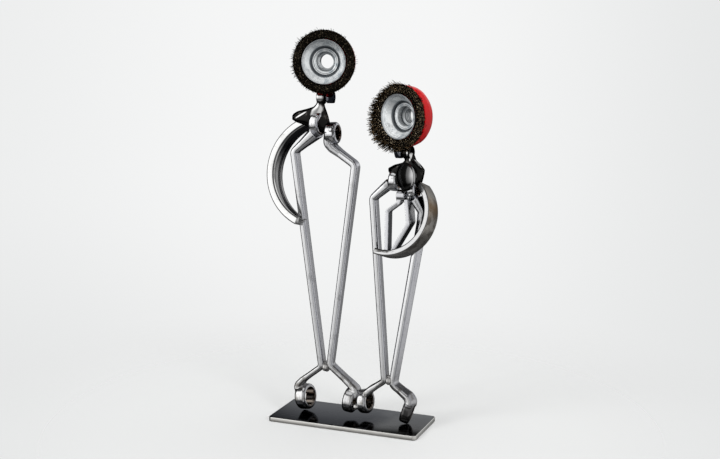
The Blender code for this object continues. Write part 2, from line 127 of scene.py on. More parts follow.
def softened(obj, width, angle):   # takes the bite off edges sharper than the angle
    applied(obj, "BEVEL", width=width, segments=2, limit_method="ANGLE", angle_limit=radians(angle))


def cut(obj, tool, operation="DIFFERENCE", solver="MANIFOLD"):
    applied(obj, "BOOLEAN", operation=operation, object=tool, solver=solver)
    bpy.data.objects.remove(tool)


def joined(name, objs):
    only(*objs)
    bpy.ops.object.join()
    return newest(name)


def fused(name, objs, voxel, rounds):   # runs overlapping bodies into one forging
    obj = joined(name, objs)
    applied(obj, "REMESH", mode="VOXEL", voxel_size=voxel)
    applied(obj, "SMOOTH", factor=0.5, iterations=rounds)
    return obj


def frameAt(origin, axis, side=(0, 0, 1)):   # local Z is the axis, local X lies towards the side
    z = Vector(axis).normalized()
    x = Vector(side) - z * Vector(side).dot(z)
    x.normalize()
    return Matrix.Translation(Vector(origin)) @ Matrix((x, z.cross(x), z)).transposed().to_4x4()


def sideways(yaw, tilt=0):
    yaw, tilt = radians(yaw), radians(tilt)
    return Vector((cos(yaw) * cos(tilt), sin(yaw) * cos(tilt), sin(tilt)))


def forwards(facing, tilt=0):
    facing, tilt = radians(facing), radians(tilt)
    return Vector((sin(facing) * cos(tilt), -cos(facing) * cos(tilt), sin(tilt)))


def roundedPath(points, radius, steps):
    path = [points[0]]
    for before, corner, after in zip(points, points[1:], points[2:]):
        back, ahead = (before - corner).normalized(), (after - corner).normalized()
        half = (pi - back.angle(ahead)) / 2
        reach = min(radius * tan(half), 0.45 * (before - corner).length, 0.45 * (after - corner).length)
        start, end = corner + back * reach, corner + ahead * reach
        for i in range(steps + 1):
            t = i / steps
            path.append(start.lerp(corner, t).lerp(corner.lerp(end, t), t))
    path.append(points[-1])
    return path


def divided(path, longest):   # adds stops on the long straight runs
    out = [path[0]]
    for a, b in zip(path, path[1:]):
        count = max(1, ceil((b - a).length / longest))
        out += [a.lerp(b, i / count) for i in range(1, count + 1)]
    return out


def headingOf(path, i):   # angle of the path from +Z towards +X
    ahead = path[min(i + 1, len(path) - 1)] - path[i]
    behind = path[i] - path[max(i - 1, 0)]
    along = ahead.normalized() + behind.normalized()
    return atan2(along.x, along.z)


def toAxis(loop):   # runs both ends of a (radius, height) loop in to the axis
    return [(0, loop[0][1]), *loop, (0, loop[-1][1])]


def turned(name, loop, matrix, arc=360, start=0, steps=roundSteps):   # loop is (radius, height)
    bpy.ops.mesh.primitive_plane_add(size=0.001, location=(loop[0][0], 0, loop[0][1]))
    obj = newest(name)
    bpy.ops.object.transform_apply(location=True)
    startEdit(obj, "VERT")
    bpy.ops.mesh.merge(type="CENTER")
    for a, b in zip(loop, loop[1:]):
        extrude((b[0] - a[0], 0, b[1] - a[1]))
    selectAll()
    if loop[0][0] > 0:   # closes a loop that stays off the axis
        ends = [Vector((radius, 0, height)) for radius, height in (loop[0], loop[-1])]
        pick(obj, "VERT", lambda v: min((v.co - end).length for end in ends) < nearly)
        bpy.ops.mesh.edge_face_add()
        selectAll()
    if arc < 360:
        bpy.ops.mesh.edge_face_add()
    rotate(-radians(start), "Z")
    bpy.ops.mesh.spin(steps=steps, angle=-radians(arc), center=(0, 0, 0), axis=(0, 0, 1))
    selectAll()
    bpy.ops.mesh.remove_doubles(threshold=0.00001)
    endEdit(outwards=True)
    return place(obj, matrix)


def fillet(loop, radius):   # rounds the corners of a closed (radius, height) loop
    points = [Vector((a, b, 0)) for a, b in loop]
    middle = points[-1].lerp(points[0], 0.5)
    return [(p.x, p.y) for p in roundedPath([middle, *points, middle], radius, 3)[:-1]]


def disc(name, radius, halfWidth, corner, matrix, sides=64, segments=3):
    bpy.ops.mesh.primitive_cylinder_add(vertices=sides, radius=radius, depth=2 * halfWidth)
    obj = newest(name)
    startEdit(obj)
    pick(obj, "EDGE", lambda e: rise(e) < nearly)
    bpy.ops.mesh.bevel(offset=corner, segments=segments, affect="EDGES")
    endEdit()
    return place(obj, matrix)


def hexagon(name, flats, depth, middle):
    bpy.ops.mesh.primitive_cylinder_add(vertices=6, radius=flats / sqrt(3), depth=depth,
                                        location=(0, 0, middle))
    return newest(name)


def ball(centre, halfSizes):
    bpy.ops.mesh.primitive_uv_sphere_add(segments=20, ring_count=12, radius=1)
    return place(newest("ball"), Matrix.Translation(Vector(centre)) @ Matrix.Diagonal((*halfSizes, 1)))


def dress(obj, material, slot, *nodes, angle=40):
    obj.data.materials.clear()
    obj.data.materials.append(material)
    only(obj)
    bpy.ops.object.shade_smooth_by_angle(angle=radians(angle))
    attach(obj, "root")
    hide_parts(*nodes)
    print(obj.name, len(obj.data.polygons), "faces")


def grey(tone):
    return (tone, tone, tone)


def operator(kind, reflected=False):
    def made(self, other=0):
        return self.paint.maths(kind, other, self) if reflected else self.paint.maths(kind, self, other)

    return made


class Signal:   # one output socket, used in sums as if it were a number
    def __init__(self, paint, socket):
        self.paint = paint
        self.socket = socket

    __add__, __radd__ = operator("ADD"), operator("ADD", True)
    __sub__, __rsub__ = operator("SUBTRACT"), operator("SUBTRACT", True)
    __mul__, __rmul__ = operator("MULTIPLY"), operator("MULTIPLY", True)
    __truediv__, __pow__, __abs__ = operator("DIVIDE"), operator("POWER"), operator("ABSOLUTE")


class Paint:
    def __init__(self, name, metallic=1, **sockets):
        self.material = bpy.data.materials.new(name)
        self.material.use_nodes = True
        self.tree = self.material.node_tree
        self.shader = self.tree.nodes["Principled BSDF"]
        self.set(**{"Base Color": grey(0.6), "Roughness": 0.3, "Metallic": metallic})
        for key, value in sockets.items():
            self.set(**{key.replace("_", " "): value})

    def node(self, kind, settings=None, sockets=None, out=0):
        made = self.tree.nodes.new(kind)
        for key, value in (settings or {}).items():
            if key == "stops":
                ramp = made.color_ramp
                while len(ramp.elements) < len(value):
                    ramp.elements.new(0.5)
                for element, (at, tone) in zip(ramp.elements, value):
                    element.position = at
                    element.color = (*grey(tone), 1)
            else:
                setattr(made, key, value)
        for key, value in (sockets or {}).items():
            self.feed(made.inputs[key], value)
        return Signal(self, made.outputs[out]) if made.outputs else None

    def feed(self, socket, value):
        if isinstance(value, Signal):
            self.tree.links.new(value.socket, socket)
        elif isinstance(value, tuple) and len(value) == 3 and socket.type == "RGBA":
            socket.default_value = (*value, 1)
        else:
            socket.default_value = value

    def set(self, **sockets):
        for key, value in sockets.items():
            self.feed(self.shader.inputs[key], value)

    def finish(self, tone, rough, relief, strength, depth):
        bump = self.node("ShaderNodeBump", {}, {"Height": relief, "Strength": strength, "Distance": depth})
        self.set(**{"Base Color": tone, "Roughness": rough, "Normal": bump})
        return self.material

    def maths(self, operation, a, b=0):
        return self.node("ShaderNodeMath", {"operation": operation}, {0: a, 1: b})

    def mapped(self, vector, **sockets):
        return self.node("ShaderNodeMapping", {"vector_type": "TEXTURE"}, {"Vector": vector, **sockets})

    def place(self, centre=None, turn=(0, 0, 0)):   # object coordinates, centred or turned
        coords = self.node("ShaderNodeTexCoord", out="Object")
        return self.mapped(coords, Location=centre, Rotation=turn) if centre else coords

    def facing(self, turn=None):   # the surface's own direction on the piece
        normal = self.node("ShaderNodeTexCoord", out="Normal")
        return self.mapped(normal, Rotation=turn) if turn else normal

    def parts(self, vector):
        made = self.node("ShaderNodeSeparateXYZ", {}, {0: vector}).socket.node
        return [Signal(self, output) for output in made.outputs]

    def vector(self, x, y):
        return self.node("ShaderNodeCombineXYZ", {}, {0: x, 1: y})

    def stretched(self, vector, scale):
        return self.node("ShaderNodeVectorMath", {"operation": "MULTIPLY"}, {0: vector, 1: scale})

    def noise(self, vector, scale, detail=4, roughness=0.55, distortion=0):
        return self.node("ShaderNodeTexNoise", {}, {"Vector": vector, "Scale": scale, "Detail": detail,
                                                    "Roughness": roughness, "Distortion": distortion})

    def step(self, value, low, high):   # 0 below low, 1 above high, smooth between
        return self.node("ShaderNodeMapRange", {"interpolation_type": "SMOOTHSTEP"},
                         {"Value": value, "From Min": low, "From Max": high})

    def band(self, value, low, innerLow, innerHigh, high):   # 0 outside, 1 in the middle
        return self.step(value, low, innerLow) * (1 - self.step(value, innerHigh, high))

    def patches(self, vector, scale, detail, low, high, roughness=0.55, distortion=0):
        return self.step(self.noise(vector, scale, detail, roughness, distortion), low, high)

    def blend(self, mask, a, b):
        return self.node("ShaderNodeMix", {"data_type": "RGBA"}, {0: mask, 6: a, 7: b}, 2)

    def layers(self, tone, *coats):   # each coat is a mask and the colour that it lays on
        for mask, colour in coats:
            tone = self.blend(mask, tone, colour)
        return tone

    def spot(self, look, wander):   # mask of one stretched spot: centre, tilt from level, half sizes
        centre, tilt, sizes = look
        local = self.mapped(self.place(), Location=centre, Scale=sizes, Rotation=(0, -radians(tilt), 0))
        away = self.node("ShaderNodeVectorMath", {"operation": "LENGTH"}, {0: local}, 1)
        return 1 - self.step(away + wander, 1, 1.45)


def polishedSteel(name, look, lean=0, bores=(), sootAndShadeBelow=None, litAbove=None):   # ground lengthwise
    paint = Paint(name, Specular_Tint=look["edgeTint"])
    here = paint.place((0, 0, 0), (0, radians(lean), 0))   # z runs along the bar
    height = paint.parts(paint.place())[2]
    x, y, z = paint.parts(paint.facing())
    front = paint.step(abs(y), 0.35, 0.9)
    streaks = paint.noise(paint.stretched(here, (1100, 320, 22)), 1, 3)
    lines = paint.patches(paint.stretched(here, (1500, 420, 30)), 1, 2, 0.6, 0.68)
    cloud = paint.noise(here, 70, 5)
    speck = paint.patches(here, 620, 3, 0.58, 0.7)
    soot = paint.patches(here, 46, 6, 0.58, 0.72, 0.62)
    blots = paint.patches(here, 190, 4, 0.5, 0.58, 0.6, 0.6)
    side = paint.blend(cloud, look["side"], look["sideWorn"])
    # painted light: above this height the sides take the lit front colour
    if litAbove:
        side = paint.blend(paint.step(height, litAbove, litAbove + 0.0015), side, steelLook["front"])
    # the front and back faces take the lit colour over the painted shade of the sides, with a painted
    # highlight on faces turned a little to the left
    tone = paint.layers(side, (front, look["front"]),
                        (streaks * 0.38, look["streak"]), (lines * 0.5, look["line"]),
                        (paint.band(0 - x, 0.04, 0.16, 0.26, 0.4) * 0.65, look["glint"]),
                        (paint.band(abs(x), 0.34, 0.58, 0.82, 0.95) * 0.62, look["line"]),   # the corners, as painted shade
                        (soot * look["soot"], look["sootTone"]),
                        (speck * (1 - front * 0.75) * 0.55, look["sootTone"]))
    for ring in bores:
        matrix = ringPlace(ring)
        bx, by, bz = paint.parts(paint.place(tuple(matrix.translation), tuple(matrix.to_euler())))
        # inside the opening: painted shade mixed with rust
        inside = 1 - paint.step((bx * bx + by * by) ** 0.5, ring["bore"] + 0.0002, ring["bore"] + 0.001)
        tone = paint.blend(inside * 0.85, tone, paint.blend(cloud, look["bore"], look["boreRust"]))
        if "scorched" in ring:
            away, rim = (bx * bx + by * by + bz * bz) ** 0.5, ring["radius"]
            near = 1 - paint.step(away, rim + 0.001, rim + 0.005)
            tone = paint.blend(near * blots * ring["scorched"], tone, look["burnt"])
    if sootAndShadeBelow:
        low = 1 - paint.step(height, 0.036, 0.09)
        dirt = paint.patches(here, 120, 5, 0.48, 0.62, 0.65)
        # below this height the feet go black: painted shade with some weld soot
        burnt = 1 - paint.step(height + cloud * 0.006, sootAndShadeBelow, sootAndShadeBelow + 0.009)
        tone = paint.layers(tone, (low * (0.26 + dirt * 0.5), look["dirt"]), (burnt * 0.9, look["burnt"]))
    rough = look["rough"] + streaks * 0.06 + (1 - front) * look["sideRough"] + soot * 0.1 + speck * 0.08
    return paint.finish(tone, rough, streaks * 0.5 + cloud * 0.4 - speck * 0.4, 0.25, 0.0001)


def blackForging(name, look, ground=()):   # ground lists the painted highlight spots
    paint = Paint(name, Specular_Tint=look["edgeTint"])
    here = paint.place()
    cloud = paint.noise(here, 55, 5)
    grain = paint.noise(paint.stretched(here, (700, 700, 180)), 1, 3)
    worn = paint.patches(here, 150, 4, 0.58, 0.7)
    tone = paint.layers(look["dark"], (cloud, look["light"]), (worn * 0.3, look["worn"]),
                        *((paint.spot(spot, (grain - 0.5) * 0.5), look["ground"]) for spot in ground))
    return paint.finish(tone, look["rough"] + cloud * 0.06 + worn * 0.06, cloud * 0.7 + grain * 0.3,
                        0.22, 0.00012)


def turnedZinc(name, centre, turn, look):   # plated pressing with turning rings about its own axis
    paint = Paint(name, metallic=0.35, Specular_Tint=(0.7, 0.75, 0.8, 1))
    here = paint.place(centre, turn)
    x, y, z = paint.parts(here)
    radius = (x * x + y * y) ** 0.5
    rings = paint.noise(paint.vector(radius * 2600, z * 900), 1, 2)
    smears = paint.noise(paint.vector(paint.maths("ARCTAN2", y, x) * 2.2, radius * 110), 1, 4)
    cloud = paint.noise(here, 150, 5)
    stain = paint.patches(here, 260, 4, 0.55, 0.67)
    inside = 1 - paint.step(radius, 0.01, 0.0106)
    # painted light on one side of the dish, painted shade on the others, and dark rings of painted shade in
    # the recess, the bore, at the rim and round the hub
    tone = paint.layers(look["dark"], (paint.step(smears * 0.5 + cloud * 0.5, 0.4, 0.56), look["light"]),
                        (paint.step(y / radius, 0.3, 0.9) * 0.7, look["light"]),
                        (paint.step(x / radius, 0.25, 0.85) * 0.6, look["stain"]),   # painted shade, duller at the top
                        (paint.step(0 - x / radius, 0.4, 1) * 0.25, look["stain"]),
                        (stain * 0.5, look["stain"]),
                        (paint.band(radius, 0.0135, 0.0139, 0.016, 0.017) * 0.92, look["groove"]),
                        (inside * (0.25 + paint.step(rings, 0.42, 0.58) * 0.65), look["groove"]),
                        (paint.step(radius, 0.0212, 0.0219) * 0.55, look["groove"]),   # painted shade at the rim
                        (paint.band(radius, 0.0119, 0.0121, 0.0124, 0.0127) * 0.8, look["groove"]))
    return paint.finish(tone, look["rough"] + rings * 0.08 + stain * 0.12 - inside * 0.06,
                        rings * 0.6 + cloud * 0.2, 0.2, 0.00008)


basePlate = {
    "corner": 0.0045, "edge": 0.0007, "edgeTint": (0.58, 0.59, 0.61, 1), "steel": (0.028, 0.029, 0.031),
    "steelWorn": (0.046, 0.047, 0.05), "scratched": grey(0.2), "rubbed": (0.24, 0.24, 0.235),
    "edgeDark": (0.46, 0.455, 0.43), "edgeSteel": (0.9, 0.89, 0.85), "arrisHighlight": (0.92, 0.91, 0.88)}


def makeBasePlate(look):
    low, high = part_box("base_plate")
    size = high - low
    bpy.ops.mesh.primitive_cube_add(size=1)
    plate = newest("basePlate")
    place(plate, Matrix.Translation((low + high) / 2) @ Matrix.Diagonal((*size, 1)))
    startEdit(plate)
    pick(plate, "EDGE", lambda e: rise(e) > 0.5 * size.z)
    bpy.ops.mesh.bevel(offset=look["corner"], segments=10, affect="EDGES")
    pick(plate, "EDGE", lambda e: rise(e) < nearly and any(abs(face.normal.z) > 0.9 for face in e.link_faces))
    bpy.ops.mesh.bevel(offset=look["edge"], segments=3, affect="EDGES")
    endEdit()
    paint = Paint("plateSteel", Specular_Tint=look["edgeTint"])
    here = paint.place()
    x, y, z = paint.parts(here)
    upwards = abs(paint.parts(paint.facing())[2])
    flat = paint.step(upwards, 0.9, 0.985)
    mottle = paint.noise(here, 32, 6, 0.6)
    grain = paint.noise(paint.stretched(here, (60, 900, 60)), 1, 3)
    slanted = paint.node("ShaderNodeMapping", {}, {"Vector": here, "Rotation": (0, 0, 0.62),
                                                   "Scale": (28, 900, 1)})
    scratch = paint.patches(slanted, 1, 1, 0.66, 0.72)
    dust = paint.patches(here, 300, 2, 0.7, 0.78)
    rubbed = paint.step(x + mottle * 0.05, 0.04, 0.085) * (0.35 + mottle * 0.65)   # towards the right end
    top = paint.layers(look["steel"], (mottle, look["steelWorn"]),
                       (scratch * 0.45 + dust * 0.3, look["scratched"]), (rubbed * 0.75, look["rubbed"]))
    # the plate's edges: steel in random tones, with a painted highlight on the bevel faces that turn upwards
    edge = paint.layers(look["edgeDark"], (grain * 0.5 + mottle * 0.5, look["edgeSteel"]),
                        (paint.step(upwards, 0.25, 0.55), look["arrisHighlight"]))
    rough = 0.06 + mottle * 0.07 + scratch * 0.2 + (1 - flat) * 0.2 + grain * 0.04
    relief = mottle * 0.3 + grain * 0.3 - scratch * 0.5
    dress(plate, paint.finish(paint.blend(flat, edge, top), rough, relief, 0.22, 0.00012), "plate_steel",
          "base_plate")


makeBasePlate(basePlate)

forging = {
    "halfThick": 0.0036, "halfDeep": 0.0064, "corner": 0.0029, "bend": 0.006, "stops": 0.012, "neck": 0.026,
    "taper": (0.92, 1.07), "ringRound": 0.003, "voxel": 0.0005, "rounds": 8, "pointDepth": 0.895,
    "mouth": 0.0016, "mouthWide": 0.0008, "mouthNarrow": 0.0014, "standOff": 0.0003}

steelLook = {
    "front": grey(0.86), "side": (0.62, 0.62, 0.65), "sideWorn": (0.82, 0.82, 0.84),
    "streak": (0.6, 0.62, 0.68), "line": (0.28, 0.29, 0.33), "glint": grey(0.97), "soot": 0.3,
    "sootTone": (0.09, 0.085, 0.08), "bore": (0.05, 0.045, 0.04), "boreRust": (0.3, 0.17, 0.09),
    "burnt": (0.035, 0.033, 0.032), "dirt": (0.2, 0.185, 0.16), "rough": 0.11, "sideRough": 0.06,
    "edgeTint": (0.4, 0.4, 0.4, 1)}

# a ring that stands on the plate has no height of its own
tallLeftSpanner = {
    "node": "tall_left_spanner", "turn": 0, "swell": (0.42, 0.75), "sootAndShadeBelow": 0.01,
    "path": ((-0.061, 0.004, 0.022), (-0.0652, 0.0037, 0.0325), (-0.0582, 0.0025, 0.0403),
        (-0.0348, 0, 0.0585), (-0.0654, 0, 0.2932), (-0.0402, 0, 0.3139)),
    "foot": {"at": (-0.0572, 0.004, None), "radius": 0.0142, "half": 0.0066, "bore": 0.0098, "tilt": 9,
        "yaw": -8},
    "chest": {"at": (-0.0375, 0, 0.324), "radius": 0.013, "half": 0.0058, "bore": 0.0088, "tilt": -5,
        "yaw": -12, "scorched": 0.35}}

tallRightSpanner = {
    "node": "tall_right_spanner", "turn": 0, "swell": (0.42, 0.5), "sootAndShadeBelow": 0.014,
    "path": ((0.0022, 0, 0.025), (0.0058, 0, 0.0355), (-0.001, 0, 0.042), (-0.025, 0, 0.0612),
        (0.0048, 0, 0.2812), (-0.0205, 0, 0.298), (-0.0248, 0, 0.3035), (-0.0235, 0, 0.312)),
    "foot": {"at": (-0.0012, 0, 0.024), "radius": 0.0138, "half": 0.006, "bore": 0.009, "tilt": -8,
        "yaw": 0},
    "chest": {"at": (-0.0214, 0, 0.314), "radius": 0.0117, "half": 0.0062, "bore": 0.0076, "tilt": 4,
        "yaw": 0, "scorched": 0.9}}

smallLeftSpanner = {
    "node": "small_left_spanner", "turn": 0, "swell": (0.42, 0.42), "sootAndShadeBelow": 0.015,
    "path": ((0.014, 0.003, 0.024), (0.015, 0.003, 0.0315), (0.022, 0.002, 0.0382), (0.0386, 0, 0.0505),
        (0.0251, 0, 0.2478), (0.0445, 0, 0.2645)),
    "foot": {"at": (0.0146, 0.003, 0.0234), "radius": 0.0132, "half": 0.0054, "bore": 0.0082, "tilt": 6,
        "yaw": -8},
    "chest": {"at": (0.0485, 0, 0.2672), "radius": 0.0112, "half": 0.005, "bore": 0.007, "tilt": -4,
        "yaw": 0, "scorched": 0.45}}

smallRightSpanner = {
    "node": "small_right_spanner", "turn": -16, "swell": (0.42, 0.42), "sootAndShadeBelow": 0.026,
    "path": ((0.065, 0, 0.0215), (0.0684, 0, 0.03), (0.0652, 0, 0.0355), (0.0478, 0, 0.0478),
        (0.0808, 0, 0.237), (0.0735, 0, 0.25)),
    "foot": {"at": (0.064, 0, None), "radius": 0.0128, "half": 0.0056, "bore": 0.008, "tilt": -18,
        "yaw": 8},
    "chest": {"at": (0.069, 0, 0.259), "radius": 0.011, "half": 0.005, "bore": 0.0068, "tilt": 8,
        "yaw": 0}}


def ringPlace(ring):
    x, y, height = ring["at"]
    if height is None:
        tilt = radians(abs(ring["tilt"]))
        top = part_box("base_plate")[1].z + forging["standOff"]
        height = top + ring["radius"] * cos(tilt) + (ring["half"] - 0.0016) * sin(tilt)
    return frameAt((x, y, height), sideways(ring["yaw"], ring["tilt"]))


def twelvePoint(ring):   # cutter for the two-hexagon opening
    bpy.ops.mesh.primitive_cylinder_add(vertices=24, radius=ring["bore"], depth=2 * ring["half"] + 0.004)
    star = newest("twelvePoint")
    startEdit(star)
    pick(star, "VERT", lambda v: round(atan2(v.co.x, v.co.y) / radians(15)) % 2 == 1)
    resize((forging["pointDepth"], forging["pointDepth"], 1))
    endEdit()
    return place(star, ringPlace(ring))


def mouthCone(ring, flip):   # lead-in at one face of the opening
    depth = forging["mouth"]
    bpy.ops.mesh.primitive_cone_add(vertices=48, radius1=ring["bore"] - forging["mouthNarrow"],
                                    radius2=ring["bore"] + forging["mouthWide"], depth=depth)
    cone = newest("mouthCone")
    startEdit(cone)
    pick(cone, "FACE", lambda f: f.normal.z > 0.9)
    extrude((0, 0, 0.001))
    endEdit()
    lift = Matrix.Translation((0, 0, ring["half"] - depth / 2))
    return place(cone, ringPlace(ring) @ Matrix.Rotation(flip, 4, "X") @ lift)


def barSizes(path, swell):   # thicker towards the top, and where it runs into its rings
    lengths = [0]
    for a, b in zip(path, path[1:]):
        lengths.append(lengths[-1] + (b - a).length)
    thin, thick = forging["taper"]
    sizes = []
    for length in lengths:
        size = thin + (thick - thin) * length / lengths[-1]
        size += swell[0] * max(0, 1 - length / forging["neck"])
        size += swell[1] * max(0, 1 - (lengths[-1] - length) / forging["neck"])
        sizes.append(size)
    return sizes


def bentBar(look):   # a flat section pulled along its path, turning as it goes
    path = divided(roundedPath([Vector(p) for p in look["path"]], look["bend"], 6), look["stops"])
    sizes = barSizes(path, look["swell"]) if "swell" in look else [1] * len(path)
    bpy.ops.mesh.primitive_plane_add(size=2)
    bar = newest("bar")
    place(bar, Matrix.Rotation(radians(look["turn"]), 4, "Z")
          @ Matrix.Diagonal((look["halfThick"], look["halfDeep"], 1, 1)))
    startEdit(bar)
    selectAll()
    bpy.ops.mesh.bevel(offset=look["corner"], segments=6, profile=0.55, affect="VERTICES")
    endEdit()
    heading, here = headingOf(path, 0), path[0]
    startEdit(bar, "FACE")
    resize((sizes[0],) * 3)
    rotate(-heading, "Y")
    bpy.ops.transform.translate(value=here)
    for i in range(1, len(path)):
        extrude(path[i] - here)
        onwards = headingOf(path, i)
        rotate(heading - onwards, "Y", path[i])
        resize((sizes[i] / sizes[i - 1],) * 3, path[i])
        here, heading = path[i], onwards
    endEdit(outwards=True)
    return bar


def makeSpanner(name, look):
    rings = [look["foot"], look["chest"]]
    bodies = [bentBar({**forging, **look})]
    bodies += [disc("ring", ring["radius"], ring["half"], forging["ringRound"], ringPlace(ring), segments=5)
               for ring in rings]
    spanner = fused(name, bodies, forging["voxel"], forging["rounds"])
    for ring in rings:
        for cutter in (twelvePoint(ring), mouthCone(ring, 0), mouthCone(ring, pi)):
            cut(spanner, cutter)
    low, high = look["path"][3], look["path"][4]
    lean = degrees(atan2(high[0] - low[0], high[2] - low[2]))
    steel = polishedSteel(name + "Steel", steelLook, lean, rings, look["sootAndShadeBelow"])
    dress(spanner, steel, "ground_steel", look["node"], angle=30)


makeSpanner("tallLeftSpanner", tallLeftSpanner)
makeSpanner("tallRightSpanner", tallRightSpanner)
makeSpanner("smallLeftSpanner", smallLeftSpanner)
makeSpanner("smallRightSpanner", smallRightSpanner)

# the arms are pieces of ball race, with painted light on the outside below the first height of shade and
# painted shade near the second
tallArmRace = {
    "node": "tall_arm_race", "centre": (-0.0304, -0.013, 0.2743), "radius": 0.062, "wall": 0.008,
    "width": 0.026, "facing": 1.5, "tilt": 13.3, "start": 99, "end": 247, "heat": 0,
    "bright": (0.82, 0.82, 0.81), "shade": (0.205, 0.345),
    "burntAt": ((-0.044, -0.013, 0.333), 0, (0.005, 0.03, 0.005))}

smallArmRace = {
    "node": "small_arm_race", "centre": (0.047, -0.015, 0.2363), "radius": 0.0459, "wall": 0.0063,
    "width": 0.0233, "facing": -7, "tilt": 17.5, "start": -104.5, "end": 47, "heat": 1,
    "bright": grey(0.6), "shade": (0.19, 0.268),
    "burntAt": ((0.0405, -0.018, 0.1993), -6, (0.0115, 0.03, 0.0026))}

raceLook = {
    "land": 0.22, "groove": 0.45, "chamfer": 0.0008, "steps": 72, "dragged": grey(0.3),
    "outside": (0.26, 0.25, 0.24), "outsideWorn": (0.5, 0.48, 0.44), "heatTone": (0.28, 0.19, 0.11),
    "blotchAndShade": (0.1, 0.09, 0.08), "litUnder": (0.72, 0.71, 0.69), "burnt": (0.035, 0.033, 0.03),
    "line": grey(0.05), "scuff": (0.16, 0.15, 0.14), "grooveShade": (0.03, 0.03, 0.033),
    "grooveLit": grey(0.34), "edgeTint": (0.5, 0.5, 0.5, 1)}


def raceLoop(look):
    outer, inner, width = look["radius"], look["radius"] - look["wall"], look["width"]
    land, lip = raceLook["land"] * width, raceLook["chamfer"]
    loop = [(inner + lip, 0), (outer - lip, 0), (outer, -lip), (outer, lip - width),
            (outer - lip, -width), (inner + lip, -width), (inner, lip - width)]
    for i in range(15):   # the ball groove
        t = i / 14
        depth = width - land - t * (width - 2 * land)
        loop.append((inner + raceLook["groove"] * look["wall"] * sin(pi * t) ** 0.7, -depth))
    return loop + [(inner, -lip)]


def raceSteel(name, look, matrix):
    turn = tuple(matrix.to_euler())
    outer, inner, land = look["radius"], look["radius"] - look["wall"], look["width"] * raceLook["land"]
    low, high = look["shade"]
    paint = Paint(name, Specular_Tint=raceLook["edgeTint"])
    here = paint.place(look["centre"], turn)
    x, y, z = paint.parts(here)
    nx, ny, nz = paint.parts(paint.facing(turn))
    height = paint.parts(paint.place())[2]
    radius = (x * x + y * y) ** 0.5
    outwards = (x * nx + y * ny) / radius
    outside = paint.step(outwards, 0.35, 0.75)
    lines = paint.noise(paint.vector(radius * 1500, z * 1500), 1, 2)
    cloud = paint.noise(here, 60, 5)
    scuff = paint.patches(here, 45, 6, 0.55, 0.7, 0.65)
    drag = paint.noise(paint.stretched(here, (160, 700, 160)), 1, 4)
    heat = paint.step(paint.noise(here, 30, 3) * 0.35 + x * 12 - abs(y - 0.01) * 16, 0.45, 0.85)
    skin = paint.layers(raceLook["outside"], (cloud, raceLook["outsideWorn"]),
                        (paint.patches(here, 70, 5, 0.46, 0.58, 0.62) * 0.78, raceLook["blotchAndShade"]),
                        # painted shade towards the top of the outside and painted light below
                        (paint.step(height, high - 0.03, high) * 0.55, raceLook["blotchAndShade"]),
                        ((1 - paint.step(height, low, low + 0.016)) * 0.45, raceLook["litUnder"]),
                        (heat * look["heat"], raceLook["heatTone"]))
    # painted shade: dark lines along the outer and inner edges of the flat faces
    edges = paint.step(radius, outer - 0.0016, outer - 0.001) + 1 \
        - paint.step(radius, inner + 0.0009, inner + 0.0016)
    bright = paint.layers(look["bright"], (paint.step(drag, 0.56, 0.72) * 0.45, raceLook["dragged"]),
                          (edges * paint.step(nz, 0.2, 0.5) * 0.9, raceLook["line"]))
    # the ball groove in painted shade, lighter where y is low and dark where it is high
    groove = paint.step(0 - z, land - 0.0002, land + 0.0006) * (1 - paint.step(outwards, -0.2, 0.3))
    trough = paint.blend(paint.step(y + cloud * 0.02, 0.004, 0.03), raceLook["grooveLit"],
                         raceLook["grooveShade"])
    burnt = paint.spot(look["burntAt"], (drag - 0.5) * 2.6)
    tone = paint.layers(bright, (groove, trough), (outside, skin), (scuff * 0.25, raceLook["scuff"]),
                        (burnt * 0.9, raceLook["burnt"]))
    return paint.finish(tone, 0.11 + lines * 0.06 + outside * 0.16 + scuff * 0.12, lines * 0.6 + cloud * 0.5,
                        0.2, 0.0001)


def makeRace(name, look):
    matrix = frameAt(look["centre"], forwards(look["facing"], look["tilt"]), sideways(look["facing"]))
    race = turned(name, raceLoop(look), matrix, arc=look["end"] - look["start"], start=look["start"],
                  steps=raceLook["steps"])
    softened(race, 0.0005, 40)
    dress(race, raceSteel(name + "Steel", look, matrix), "race_steel", look["node"], angle=35)


makeRace("tallArmRace", tallArmRace)
makeRace("smallArmRace", smallArmRace)

# ground is the colour of the painted highlight spots
blackLook = {"dark": grey(0.007), "light": (0.026, 0.025, 0.024), "worn": (0.24, 0.23, 0.21),
             "ground": (0.86, 0.86, 0.85), "rough": 0.07, "edgeTint": (0.15, 0.15, 0.15, 1)}
yokeShape = {"rounding": 0.92, "bossRadius": 0.0072, "bossHalf": 0.0045, "bossEdge": 0.0012, "voxel": 0.0005,
             "rounds": 16}

# widths to the left and right of the neck and half depth, at heights below the boss
tallYoke = {
    "node": "tall_shoulder_yoke", "neck": (-0.034, 0, 0.3515), "yaw": 8, "nutSide": 1,
    "levels": ((-0.002, 0.004, 0.003, 0.0046), (-0.0068, 0.0054, 0.0026, 0.005),
        (-0.01, 0.0084, 0.0034, 0.0056), (-0.0125, 0.0165, 0.0044, 0.0062), (-0.015, 0.0262, 0.0054, 0.0068),
        (-0.0176, 0.0306, 0.0062, 0.0074), (-0.0198, 0.0322, 0.007, 0.0076), (-0.024, 0.0323, 0.008, 0.0078),
        (-0.0268, 0.0278, 0.0088, 0.0074), (-0.031, 0.015, 0.0094, 0.0066), (-0.0345, 0.008, 0.008, 0.005)),
    # painted highlights on the boss face, the lobe, the neck and the centre
    "ground": (((-0.0335, -0.007, 0.3518), 0, (0.003, 0.005, 0.0036)), ((-0.0541, -0.006, 0.3328), 30,
        (0.0058, 0.008, 0.0007)), ((-0.0374, -0.006, 0.3405), 70, (0.0042, 0.008, 0.0009)),
        ((-0.0372, -0.006, 0.3362), 60, (0.0066, 0.008, 0.004)))}

